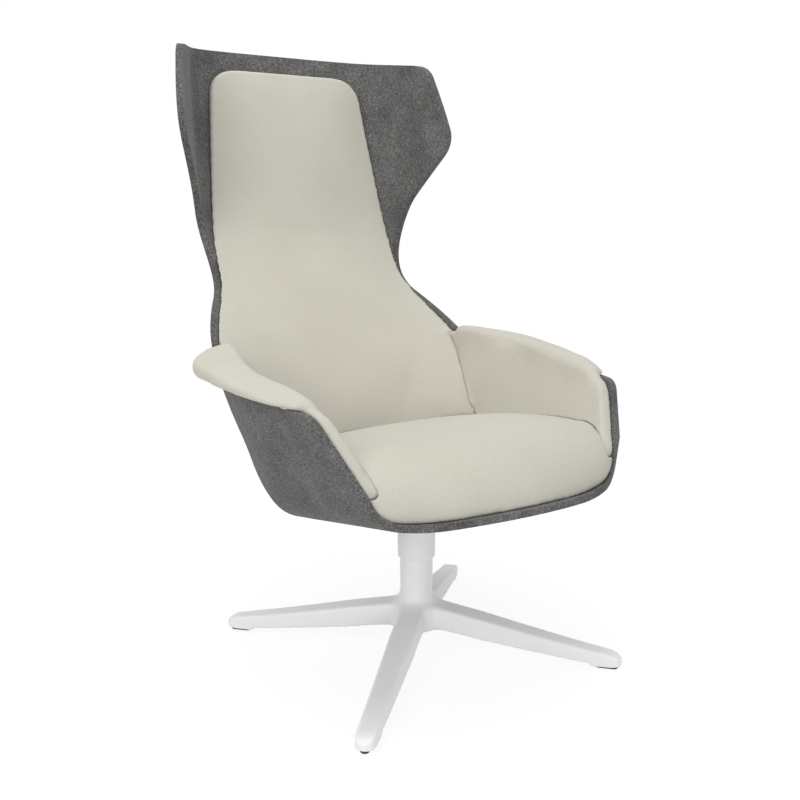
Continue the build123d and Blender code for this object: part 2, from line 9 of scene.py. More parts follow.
import bmesh
import bpy
import numpy as np
from mathutils import Matrix, Vector
from mathutils.bvhtree import BVHTree
from mathutils.kdtree import KDTree


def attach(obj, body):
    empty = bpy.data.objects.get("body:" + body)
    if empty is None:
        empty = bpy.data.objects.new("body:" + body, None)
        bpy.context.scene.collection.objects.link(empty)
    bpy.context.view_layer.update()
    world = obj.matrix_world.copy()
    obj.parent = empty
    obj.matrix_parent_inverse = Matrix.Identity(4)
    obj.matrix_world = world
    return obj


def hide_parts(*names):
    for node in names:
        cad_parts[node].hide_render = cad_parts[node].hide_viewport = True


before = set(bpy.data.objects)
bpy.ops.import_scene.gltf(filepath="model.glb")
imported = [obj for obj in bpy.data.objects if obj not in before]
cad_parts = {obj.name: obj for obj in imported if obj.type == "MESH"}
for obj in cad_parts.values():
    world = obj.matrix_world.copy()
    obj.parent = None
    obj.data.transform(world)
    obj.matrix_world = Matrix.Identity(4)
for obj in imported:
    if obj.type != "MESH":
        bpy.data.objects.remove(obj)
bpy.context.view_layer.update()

log = logging.getLogger("lounge_chair")

Colour = tuple[float, float, float]
Point = tuple[float, float, float]


class Body(Enum):
    """The rigid bodies of the frame."""

    BASE = "base"
    SEAT = "seat"


class Value:
    """A shader socket whose arithmetic adds Math nodes."""

    def __init__(self, recipe: "Recipe", socket: bpy.types.NodeSocket) -> None:
        """Keep the recipe that owns the socket."""
        self.recipe = recipe
        self.socket = socket

    def _math(self, operation: str, first: Any, second: Any) -> "Value":
        """Add one Math node.

        Args:
            operation: The Math node's operation.
            first: A value or a number.
            second: A value or a number.

        Returns:
            The node's result.
        """
        made = self.recipe.node("ShaderNodeMath", {"operation": operation}, {0: first, 1: second})
        return self.recipe.out(made)

    def __add__(self, other: Any) -> "Value":
        """Sum."""
        return self._math("ADD", self, other)

    def __radd__(self, other: Any) -> "Value":
        """Sum, reflected."""
        return self._math("ADD", other, self)

    def __sub__(self, other: Any) -> "Value":
        """Difference."""
        return self._math("SUBTRACT", self, other)

    def __rsub__(self, other: Any) -> "Value":
        """Difference, reflected."""
        return self._math("SUBTRACT", other, self)

    def __mul__(self, other: Any) -> "Value":
        """Product."""
        return self._math("MULTIPLY", self, other)

    def __rmul__(self, other: Any) -> "Value":
        """Product, reflected."""
        return self._math("MULTIPLY", other, self)


class Recipe:
    """The node tree of one material, or of the world."""

    def __init__(self, owner: bpy.types.Material | bpy.types.World) -> None:
        """Start an empty tree with its output node.

        Args:
            owner: The material or world that the tree belongs to.
        """
        self.owner = owner
        owner.use_nodes = True
        self.tree = owner.node_tree
        self.tree.nodes.clear()
        kind = "World" if isinstance(owner, bpy.types.World) else "Material"
        self.end = self.tree.nodes.new(f"ShaderNodeOutput{kind}")

    @classmethod
    def paint(cls, name: str) -> "Recipe":
        """Start a new material."""
        return cls(bpy.data.materials.new(name))

    def node(
        self, kind: str, settings: dict[str, Any] | None = None, inputs: dict[Any, Any] | None = None
    ) -> bpy.types.Node:
        """Add a node.

        Args:
            kind: The node's type.
            settings: Its properties, and under "stops" a ramp's places and colours.
            inputs: Values or links by the socket's name or number.

        Returns:
            The new node.
        """
        made = self.tree.nodes.new(kind)
        for key, value in (settings or {}).items():
            if key == "stops":
                elements = made.color_ramp.elements
                while len(elements) < len(value):
                    elements.new(1.0)
                for element, (place, colour) in zip(elements, value):
                    element.position = place
                    element.color = (*colour, 1.0)
            else:
                setattr(made, key, value)
        for key, value in (inputs or {}).items():
            if isinstance(value, Value):
                self.tree.links.new(value.socket, made.inputs[key])
            else:
                made.inputs[key].default_value = value
        return made

    def out(self, node: bpy.types.Node, key: Any = 0) -> Value:
        """Give one output of a node as a value."""
        return Value(self, node.outputs[key])

    def place(self, scale: Point = (1.0, 1.0, 1.0)) -> Value:
        """Give the object's own coordinates, stretched.

        Args:
            scale: How much each axis is stretched.

        Returns:
            The coordinates.
        """
        spot = self.out(self.node("ShaderNodeTexCoord"), "Object")
        return self.out(self.node("ShaderNodeMapping", {}, {"Vector": spot, "Scale": scale}))

    def grain(self, scale: float, detail: float = 3.0, stretch: Point = (1.0, 1.0, 1.0)) -> Value:
        """Add a noise texture on the object's coordinates.

        Args:
            scale: Features per metre.
            detail: Octaves.
            stretch: How much each axis is stretched.

        Returns:
            The noise, about 0.5 in the middle.
        """
        settings = {"noise_dimensions": "3D"}
        inputs = {"Vector": self.place(stretch), "Scale": scale, "Detail": detail, "Roughness": 0.6}
        return self.out(self.node("ShaderNodeTexNoise", settings, inputs), "Fac")

    def ramp(self, value: Value, stops: list[tuple[float, Colour]]) -> Value:
        """Turn a value into a colour by a ramp."""
        return self.out(self.node("ShaderNodeValToRGB", {"stops": stops}, {0: value}), "Color")

    def bump(self, height: Value, strength: float, distance: float) -> Value:
        """Turn a height into a normal."""
        inputs = {"Height": height, "Strength": strength, "Distance": distance}
        return self.out(self.node("ShaderNodeBump", {}, inputs), "Normal")

    def surface(self, **inputs: Any) -> bpy.types.Material:
        """Close the material with a Principled shader.

        Args:
            inputs: Socket names with underscores for spaces, and their values.

        Returns:
            The material.
        """
        named = {key.replace("_", " "): value for key, value in inputs.items()}
        return self.close(self.node("ShaderNodeBsdfPrincipled", {}, named))

    def close(self, shader: bpy.types.Node) -> bpy.types.Material | bpy.types.World:
        """Send a shader to the output and give the tree's owner."""
        self.tree.links.new(shader.outputs[0], self.end.inputs["Surface"])
        return self.owner


def grey(level: float) -> Colour:
    """Give a neutral colour."""
    return (level, level, level)


@dataclass(frozen=True)
class Felt:
    """Moulded wool felt: mottled, with short fibres lying every way."""

    dark: Colour = (0.030, 0.030, 0.030)
    middle: Colour = (0.104, 0.103, 0.102)
    light: Colour = (0.300, 0.297, 0.292)
    cloud_scale: float = 16.0
    speck_scale: float = 300.0
    fibre_long: float = 130.0
    fibre_short: float = 500.0
    fleece_share: float = 0.50
    speck_share: float = 0.36
    cloud_share: float = 0.30

    def material(self) -> bpy.types.Material:
        """Build the felt's material.

        Returns:
            The material.
        """
        recipe = Recipe.paint("grey_felt")
        long, short = self.fibre_long, self.fibre_short
        lying = [(long, short, short), (short, long, short), (short, short, long)]
        fibres = [recipe.grain(1.0, 1.0, stretch) for stretch in lying]
        fleece = (fibres[0] + fibres[1] + fibres[2] - 1.5) * 0.9
        specks = recipe.grain(self.speck_scale, 2.0) - 0.5
        clouds = recipe.grain(self.cloud_scale, 3.0) - 0.5
        tone = 0.5 + fleece * self.fleece_share + specks * self.speck_share + clouds * self.cloud_share
        colour = recipe.ramp(tone, [(0.20, self.dark), (0.50, self.middle), (0.88, self.light)])
        return recipe.surface(
            Base_Color=colour,
            Roughness=0.88 + specks * 0.16,
            Normal=recipe.bump(fleece + specks, 0.4, 0.0012),
            Sheen_Weight=0.10,
            Sheen_Roughness=0.35,
            Specular_IOR_Level=0.2,
        )


@dataclass(frozen=True)
class Cloth:
    """Fine smooth upholstery with a faint melange."""

    shade: Colour = (0.470, 0.450, 0.388)
    bright: Colour = (0.580, 0.560, 0.494)
    thread_long: float = 260.0
    thread_short: float = 1150.0
    cloud_scale: float = 7.0
    weave_share: float = 0.8
    cloud_share: float = 0.2

    def material(self) -> bpy.types.Material:
        """Build the cloth's material.

        Returns:
            The material.
        """
        recipe = Recipe.paint("cream_fabric")
        long, short = self.thread_long, self.thread_short
        warp = recipe.grain(1.0, 2.0, (short, long, long))
        weft = recipe.grain(1.0, 2.0, (long, short, short))
        weave = (warp + weft) * 0.5
        clouds = recipe.grain(self.cloud_scale, 2.0)
        tone = weave * self.weave_share + clouds * self.cloud_share
        colour = recipe.ramp(tone, [(0.32, self.shade), (0.66, self.bright)])
        return recipe.surface(
            Base_Color=colour,
            Roughness=0.80 + weave * 0.15,
            Normal=recipe.bump(weave, 0.16, 0.0006),
            Sheen_Weight=0.12,
            Sheen_Roughness=0.4,
            Specular_IOR_Level=0.25,
        )


@dataclass(frozen=True)
class Coat:
    """A painted, moulded or machined surface with a fine grain."""

    name: str
    low: Colour
    high: Colour
    roughness: float
    spread: float
    grain_scale: float
    stretch: Point = (1.0, 1.0, 1.0)
    metal: float = 0.0
    relief: float = 0.05
    clear: float = 0.0
    patch_scale: float = 11.0
    grain_share: float = 0.4
    patch_share: float = 0.6

    def material(self) -> bpy.types.Material:
        """Build the coat's material.

        Returns:
            The material.
        """
        recipe = Recipe.paint(self.name)
        grain = recipe.grain(self.grain_scale, 3.0, self.stretch)
        patches = recipe.grain(self.patch_scale, 2.0)
        tone = grain * self.grain_share + patches * self.patch_share
        return recipe.surface(
            Base_Color=recipe.ramp(tone, [(0.35, self.low), (0.65, self.high)]),
            Roughness=self.roughness + grain * self.spread,
            Normal=recipe.bump(grain, self.relief, 0.0004),
            Metallic=self.metal,
            Coat_Weight=self.clear,
        )


@dataclass(frozen=True)
class Finishes:
    """Every material of the chair by its slot."""

    made: dict[str, bpy.types.Material]

    @classmethod
    def mix(cls) -> "Finishes":
        """Build all the materials.

        Returns:
            The materials by their slots.
        """
        coats = [
            Coat("white_paint", grey(0.85), grey(0.88), 0.36, 0.12, 900.0, relief=0.04, clear=0.1),
            Coat("black_plastic", grey(0.012), grey(0.024), 0.50, 0.20, 600.0, relief=0.2),
            Coat("dark_steel", grey(0.020), grey(0.036), 0.42, 0.18, 700.0, relief=0.1),
            Coat("bearing_steel", grey(0.50), grey(0.62), 0.24, 0.16, 1.0, (900.0, 900.0, 60.0), 1.0),
            Coat("bush_plastic", (0.50, 0.48, 0.42), (0.56, 0.54, 0.48), 0.45, 0.10, 300.0),
            Coat(
                "plywood", (0.30, 0.18, 0.09), (0.46, 0.31, 0.18), 0.60, 0.15, 1.0, (18.0, 260.0, 260.0)
            ),
        ]
        made = {coat.name: coat.material() for coat in coats}
        made["grey_felt"] = Felt().material()
        made["cream_fabric"] = Cloth().material()
        # Painted seam shade: a dark cord colour that stands in for the shadow in the grooves between
        # the pads.
        made["seam_thread"] = Coat(
            "seam_thread", (0.15, 0.142, 0.125), (0.22, 0.21, 0.185), 0.85, 0.1, 800.0, relief=0.3
        ).material()
        return cls(made)

    def dress(self, slot: str, *nodes: str) -> None:
        """Give CAD nodes their material.

        Args:
            slot: The material slot.
            nodes: The nodes' names.
        """
        for name in nodes:
            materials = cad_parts[name].data.materials
            materials.clear()
            materials.append(self.made[slot])


def add_piece(name: str, mesh: bpy.types.Mesh) -> bpy.types.Object:
    """Put a mesh in the scene under a piece's name.

    Args:
        name: The piece's name.
        mesh: Its mesh.

    Returns:
        The new object.
    """
    piece = bpy.data.objects.new(name, mesh)
    bpy.context.scene.collection.objects.link(piece)
    return piece


def settled(piece: bpy.types.Object) -> bpy.types.Mesh:
    """Give a piece's mesh with its modifiers applied."""
    graph = bpy.context.evaluated_depsgraph_get()
    return bpy.data.meshes.new_from_object(piece.evaluated_get(graph))


def node_mesh(*nodes: str) -> bpy.types.Mesh:
    """Copy CAD nodes' meshes into one, with their loose triangles joined.

    Args:
        nodes: The nodes' names.

    Returns:
        A new mesh without materials.
    """
    build = bmesh.new()
    for name in nodes:
        build.from_mesh(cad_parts[name].data)
    bmesh.ops.remove_doubles(build, verts=build.verts, dist=1e-5)
    mesh = bpy.data.meshes.new("_".join(nodes))
    build.to_mesh(mesh)
    build.free()
    mesh.materials.clear()
    return mesh


def node_tree(*nodes: str) -> BVHTree:
    """Give a search tree over CAD nodes.

    Args:
        nodes: The nodes' names.

    Returns:
        The tree.
    """
    build = bmesh.new()
    for name in nodes:
        build.from_mesh(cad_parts[name].data)
    tree = BVHTree.FromBMesh(build)
    build.free()
    return tree


def points_of(mesh: bpy.types.Mesh) -> np.ndarray:
    """Give a mesh's points as an array.

    Args:
        mesh: The mesh.

    Returns:
        One row for each point.
    """
    flat = np.empty(len(mesh.vertices) * 3)
    mesh.vertices.foreach_get("co", flat)
    return flat.reshape(-1, 3)


def set_points(mesh: bpy.types.Mesh, points: np.ndarray) -> None:
    """Move a mesh's points."""
    mesh.vertices.foreach_set("co", points.ravel())
    mesh.update()


class Net:
    """The edges of a mesh, along which its points pull on each other."""

    ease: float = 0.5
    fill_step: float = 0.9
    normal_rounds: int = 8

    def __init__(self, mesh: bpy.types.Mesh) -> None:
        """Read the mesh's edges.

        Args:
            mesh: The mesh.
        """
        self.mesh = mesh
        ends = np.empty(len(mesh.edges) * 2, dtype=np.int64)
        mesh.edges.foreach_get("vertices", ends)
        self.size = len(mesh.vertices)
        self.first, self.second = ends.reshape(-1, 2).T
        self.count = np.bincount(ends, minlength=self.size).clip(1)[:, None]

    def pull(self, points: np.ndarray) -> np.ndarray:
        """Give the way from each point to the middle of its neighbours.

        Args:
            points: The points.

        Returns:
            One vector for each point.
        """
        axes = [
            np.bincount(self.first, points[self.second, axis], self.size)
            + np.bincount(self.second, points[self.first, axis], self.size)
            for axis in range(3)
        ]
        return np.stack(axes, axis=1) / self.count - points

    def relaxed(
        self, points: np.ndarray, rounds: int, rebound: float = 0.0, weights: np.ndarray | float = 1.0
    ) -> np.ndarray:
        """Draw each point towards the middle of its neighbours.

        Args:
            points: The points to smooth.
            rounds: How many times.
            rebound: The step back after each round, which keeps the form from shrinking.
            weights: How far each point follows, from 0 to 1, as a column.

        Returns:
            The smoothed points.
        """
        for step in [self.ease, -rebound] * rounds if rebound else [self.ease] * rounds:
            points = points + step * weights * self.pull(points)
        return points

    def filled(self, points: np.ndarray, rounds: int, weights: np.ndarray | float = 1.0) -> np.ndarray:
        """Fill the hollows of a form and leave its swells.

        Args:
            points: The points to move.
            rounds: How many times.
            weights: How far each point follows, from 0 to 1, as a column.

        Returns:
            The points with smooth hollows.
        """
        normals = np.empty(self.size * 3)
        for step in range(rounds):
            if step % self.normal_rounds == 0:
                set_points(self.mesh, points)
                self.mesh.vertices.foreach_get("normal", normals)
                outward = normals.reshape(-1, 3)
            rise = (self.pull(points) * outward).sum(axis=1, keepdims=True)
            points = points + self.fill_step * weights * np.maximum(rise, 0.0) * outward
        return points


def smooth_shaded(mesh: bpy.types.Mesh) -> None:
    """Shade a mesh smooth all over."""
    mesh.polygons.foreach_set("use_smooth", np.ones(len(mesh.polygons), dtype=bool))


def evenly_meshed(name: str, node: str, voxel: float) -> bpy.types.Object:
    """Remesh a CAD node into even quads.

    Args:
        name: The new object's name.
        node: The CAD node.
        voxel: The size of a quad in metres.

    Returns:
        The new object.
    """
    rough = add_piece(f"{node}_rough", node_mesh(node))
    even = rough.modifiers.new("even", "REMESH")
    even.mode = "VOXEL"
    even.voxel_size = voxel
    mesh = settled(rough)
    bpy.data.objects.remove(rough)
    return add_piece(name, mesh)


def share_near(points: np.ndarray, middle: Point, reach: float) -> np.ndarray:
    """Give each point's share of a change around a place, 1 there and 0 at its reach, as a column."""
    far = np.linalg.norm(points - np.array(middle), axis=1) / reach
    return ((1.0 - np.minimum(far, 1.0) ** 2) ** 2)[:, None]


@dataclass(frozen=True)
class Push:
    """A place where a pad is pushed out of, or drawn in from, its CAD solid."""

    middle: Point
    reach: float
    move: Point

    def on(self, points: np.ndarray) -> np.ndarray:
        """Give the move of each point."""
        return share_near(points, self.middle, self.reach) * np.array(self.move)

    def both_sides(self) -> "tuple[Push, Push]":
        """Give the push and its mirror image on the chair's other side."""
        (x, *middle), (across, *move) = self.middle, self.move
        return self, Push((-x, *middle), self.reach, (-across, *move))


@dataclass
class Pad:
    """One stuffed pad of the seat, swelled from its CAD solid by a cloth simulation."""

    node: str
    neighbours: tuple[str, ...]
    swell_limit: float = 0.006
    pushes: tuple[Push, ...] = ()
    melted: tuple[Point, ...] = ()
    closes: tuple[str, ...] = ()
    melt_reach: float = 0.055
    melt_rounds: int = 60
    voxel: float = 0.003
    cloth_voxel: float = 0.007
    pressure: float = 4.0
    hollow_rounds: int = 0
    soft_rounds: int = 40
    edge_rounds: int = 3
    swell_rounds: int = 30
    rebound: float = 0.52
    seam_reach: float = 0.011
    seam_gap: float = 0.0007
    held_reach: float = 0.003
    free_reach: float = 0.018
    clearance: float = 0.0006
    clear_reach: float = 0.012
    facing: float = 0.95
    grown_rounds: int = 6
    nearest: int = 4
    fill: float = 0.85
    piece: bpy.types.Object | None = None
    cloth: bpy.types.Object | None = None

    def freedom(self, points: np.ndarray) -> np.ndarray:
        """Say how free each point is to swell, from 0 beside a neighbour to 1 well away.

        Args:
            points: The points to judge.

        Returns:
            One number for each point.
        """
        tree = node_tree(*self.neighbours)
        reach = np.array([tree.find_nearest(Vector(spot))[3] for spot in points])
        return np.clip((reach - self.held_reach) / (self.free_reach - self.held_reach), 0.0, 1.0)

    def shape(self) -> None:
        """Remesh the CAD solid evenly and round its edges."""
        self.piece = evenly_meshed(f"{self.node}_soft", self.node, self.voxel)
        net = Net(self.piece.data)
        points = net.relaxed(points_of(self.piece.data), self.soft_rounds, self.rebound)
        points = net.filled(points, self.hollow_rounds)
        for spot in self.melted:
            points = net.relaxed(
                points, self.melt_rounds, weights=share_near(points, spot, self.melt_reach)
            )
        set_points(self.piece.data, net.relaxed(points, self.edge_rounds))

    def start_swelling(self) -> None:
        """Make a coarser cloth of the pad, held where it meets its neighbours."""
        self.cloth = evenly_meshed(f"{self.node}_cloth", self.node, self.cloth_voxel)
        held = self.cloth.vertex_groups.new(name="held")
        for index, free in enumerate(self.freedom(points_of(self.cloth.data))):
            if free < 1.0:
                held.add([index], 1.0 - float(free), "REPLACE")
        cloth = self.cloth.modifiers.new("swell", "CLOTH")
        cloth.settings.quality = 4
        cloth.settings.mass = 0.3
        cloth.settings.tension_stiffness = 25.0
        cloth.settings.compression_stiffness = 25.0
        cloth.settings.bending_stiffness = 2.0
        cloth.settings.use_pressure = True
        cloth.settings.uniform_pressure_force = self.pressure
        cloth.settings.vertex_group_mass = held.name
        cloth.settings.effector_weights.gravity = 0.0
        cloth.collision_settings.use_collision = False

    def swelling(self, points: np.ndarray) -> np.ndarray:
        """Read the simulated swelling at other points.

        Args:
            points: The finished pad's points.

        Returns:
            The move of each point, within the pad's limit.
        """
        rest = points_of(self.cloth.data)
        swelled = settled(self.cloth)
        move = points_of(swelled) - rest
        bpy.data.meshes.remove(swelled)
        length = np.linalg.norm(move, axis=1, keepdims=True)
        move = move * np.minimum(1.0, self.swell_limit / np.maximum(length, 1e-9))
        move = Net(self.cloth.data).relaxed(move, self.swell_rounds)
        tree = KDTree(len(rest))
        for index, spot in enumerate(rest):
            tree.insert(spot, index)
        tree.balance()
        moved = np.empty_like(points)
        for index, spot in enumerate(points):
            near = tree.find_n(spot, self.nearest)
            weights = np.array([1.0 / (hit[2] + 1e-5) for hit in near])
            moved[index] = weights @ move[[hit[1] for hit in near]] / weights.sum()
        bpy.data.objects.remove(self.cloth)
        return moved

    def closed_up(self, points: np.ndarray) -> np.ndarray:
        """Draw the pad's edges up to the pads that it closes against.

        Args:
            points: The pad's points, which are changed.

        Returns:
            The points, with those near another pad almost touching it.
        """
        if not self.closes:
            return points
        tree = node_tree(*self.closes)
        for index, spot in enumerate(points):
            near, _, _, far = tree.find_nearest(Vector(spot), self.seam_reach)
            if near is None or far <= self.seam_gap:
                continue
            share = min(1.0, 2.0 * (1.0 - far / self.seam_reach))
            points[index] = spot + (np.array(near) - spot) * (1.0 - self.seam_gap / far) * share
        return points

    def kept_clear(self, points: np.ndarray) -> np.ndarray:
        """Keep points just outside the neighbouring solids.

        Args:
            points: The pad's points, which are changed.

        Returns:
            The points, where they faced a solid moved out of it.
        """
        tree = node_tree(*self.neighbours)
        for index, spot in enumerate(points):
            near, normal, _, far = tree.find_nearest(Vector(spot), self.clear_reach)
            if near is None:
                continue
            depth = (Vector(spot) - near).dot(normal)
            if depth < self.clearance and abs(depth) > self.facing * far:
                points[index] = near + normal * self.clearance
        return points

    def settle(self) -> None:
        """Keep the swelled form, clear of the neighbours, and finish the mesh."""
        mesh = self.piece.data
        points = points_of(mesh)
        free = self.freedom(points)[:, None]
        grown = sum((push.on(points) for push in self.pushes), np.zeros_like(points))
        if self.cloth:
            grown = grown + self.swelling(points) * free
        grown = Net(mesh).relaxed(grown, self.grown_rounds)
        set_points(mesh, self.kept_clear(self.closed_up(points + grown)))
        smooth_shaded(mesh)

    def dress(self, finishes: Finishes) -> None:
        """Give the pad its cloth and its place in the frame.

        Args:
            finishes: The chair's materials.
        """
        self.piece.data.materials.append(finishes.made["cream_fabric"])
        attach(self.piece, Body.SEAT.value)
        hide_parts(self.node)


@dataclass
class Upholstery:
    """The seat's four pads."""

    frames: int = 20
    pads: list[Pad] = field(
        default_factory=lambda: [
            Pad(
                "seat_cushion",
                ("felt_shell", "seat_board", "arm_pad_left", "arm_pad_right", "back_cushion"),
                swell_limit=0.008,
                pushes=Push((0.215, -0.255, 0.395), 0.07, (0.005, -0.004, 0.0)).both_sides(),
            ),
            Pad(
                "back_cushion",
                ("felt_shell", "back_board", "arm_pad_left", "arm_pad_right", "seat_cushion"),
                pushes=(
                    *Push((0.220, 0.152, 0.403), 0.06, (0.011, -0.014, -0.012)).both_sides(),
                    *Push((0.217, 0.385, 0.660), 0.09, (-0.006, 0.002, 0.0)).both_sides(),
                ),
                closes=("arm_pad_left", "arm_pad_right", "seat_cushion"),
                seam_reach=0.018,
            ),
            *(
                Pad(
                    f"arm_pad_{side}",
                    ("felt_shell", f"arm_board_{side}", "back_cushion", "seat_cushion"),
                    hollow_rounds=90,
                    melted=((x, -0.155, 0.512),),
                    closes=("seat_cushion", "back_cushion"),
                )
                for side, x in (("left", -0.300), ("right", 0.300))
            ),
        ]
    )

    def build(self, finishes: Finishes) -> list[bpy.types.Object]:
        """Shape, swell and dress the pads.

        Args:
            finishes: The chair's materials.

        Returns:
            The pads' objects.
        """
        for pad in self.pads:
            pad.shape()
        for pad in self.pads:
            pad.start_swelling()
        for step in range(1, self.frames + 1):
            bpy.context.scene.frame_set(step)
        for pad in self.pads:
            pad.settle()
        bpy.context.scene.frame_set(1)
        for pad in self.pads:
            pad.dress(finishes)
        return [pad.piece for pad in self.pads]

    def shade_seams(self, finishes: Finishes) -> bpy.types.Object:
        """Lay dark cords in the grooves between the finished pads: painted shade of the seams."""
        return SeamShadeCords().build(self.pads, finishes)


@dataclass
class StarBase:
    """The cast four-leg base, its column flowing into the legs."""

    voxel: float = 0.0025
    blend_rounds: int = 120
    hub_rounds: int = 24
    edge_rounds: int = 14
    hub_top: float = 0.120
    column_start: float = 0.150
    slim_start: float = 0.05
    slim_share: float = 0.22
    slim_curve: float = 1.5
    rebound: float = 0.51
    foot_level: float = 0.0065
    bore_radius: float = 0.029
    foot_top: float = 0.010
    hub_reach: float = 0.065
    blend_reach: float = 0.12
    nose_start: float = 0.350
    leg_reach: float = 0.376
    nose_level: float = 0.016
    nose_fall: float = 0.85
    sole_rise: float = 0.30

    def build(self, finishes: Finishes) -> bpy.types.Object:
        """Remesh the base, blend its joins and round the ends of its legs.

        Args:
            finishes: The chair's materials.

        Returns:
            The base.
        """
        piece = evenly_meshed("star_base_cast", "star_base", self.voxel)
        net = Net(piece.data)
        points = points_of(piece.data)
        out = np.hypot(points[:, 0], points[:, 1])
        along = np.clip((out - self.nose_start) / (self.leg_reach - self.nose_start), 0.0, 1.0)
        run = (out - self.slim_start) / (self.nose_start - self.slim_start)
        slim = self.slim_share * np.clip(run, 0.0, 1.0) ** self.slim_curve
        points[:, 2] -= slim * (points[:, 2] - self.foot_level)
        over = points[:, 2] - self.nose_level
        fall = np.where(over > 0.0, self.nose_fall, self.sole_rise)
        points[:, 2] -= over * (1.0 - np.sqrt(1.0 - fall * along**2))
        outside = (out > self.bore_radius) & (points[:, 2] > self.foot_top)
        hub = np.interp(out, [self.hub_reach, self.blend_reach], [1.0, 0.0]) * outside
        hub *= np.interp(points[:, 2], [self.hub_top, self.column_start], [1.0, 0.0])
        points = net.filled(points, self.blend_rounds, hub[:, None])
        points = net.relaxed(points, self.hub_rounds, weights=hub[:, None])
        points = net.relaxed(points, self.edge_rounds, self.rebound, outside[:, None] * 1.0)
        set_points(piece.data, points)
        smooth_shaded(piece.data)
        piece.data.materials.append(finishes.made["white_paint"])
        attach(piece, Body.BASE.value)
        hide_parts("star_base")
        return piece


